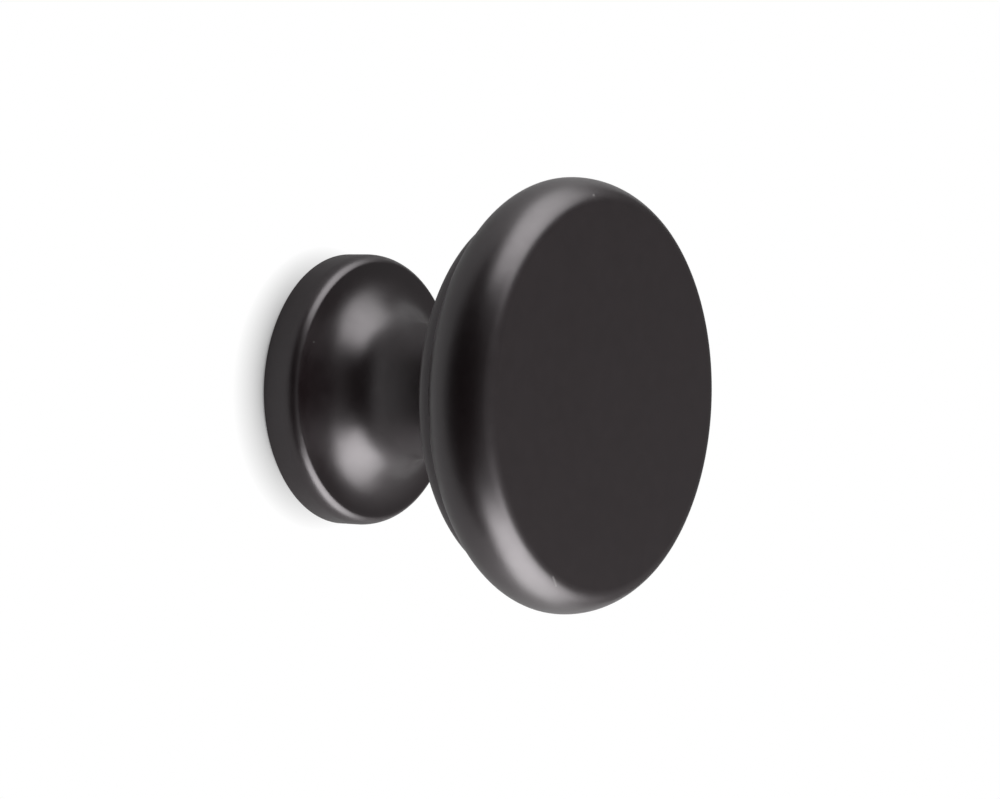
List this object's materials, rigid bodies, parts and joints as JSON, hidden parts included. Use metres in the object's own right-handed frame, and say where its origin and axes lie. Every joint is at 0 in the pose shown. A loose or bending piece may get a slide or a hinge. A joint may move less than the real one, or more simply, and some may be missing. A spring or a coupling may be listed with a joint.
{
  "type": "cabinet knob",
  "caption": "Round mushroom-shaped cabinet knob with a crowned face, a collar behind the rim, a waisted neck and a disc base with a blind tapped hole.",
  "frame": {"origin": "centre of the base's mounting face, which is the knob's lowest face as it stands here", "axes": "+Z along the knob's axis, out of the furniture from the mounting face to the head's face; the knob is a body of revolution, so X and Y are free"},
  "size_m": [0.032, 0.032, 0.0241],
  "materials": {
    "black_paint": "satin black paint"
  },
  "bodies": {
    "root": {"knob": "black_paint"}
  },
  "joints": []
}
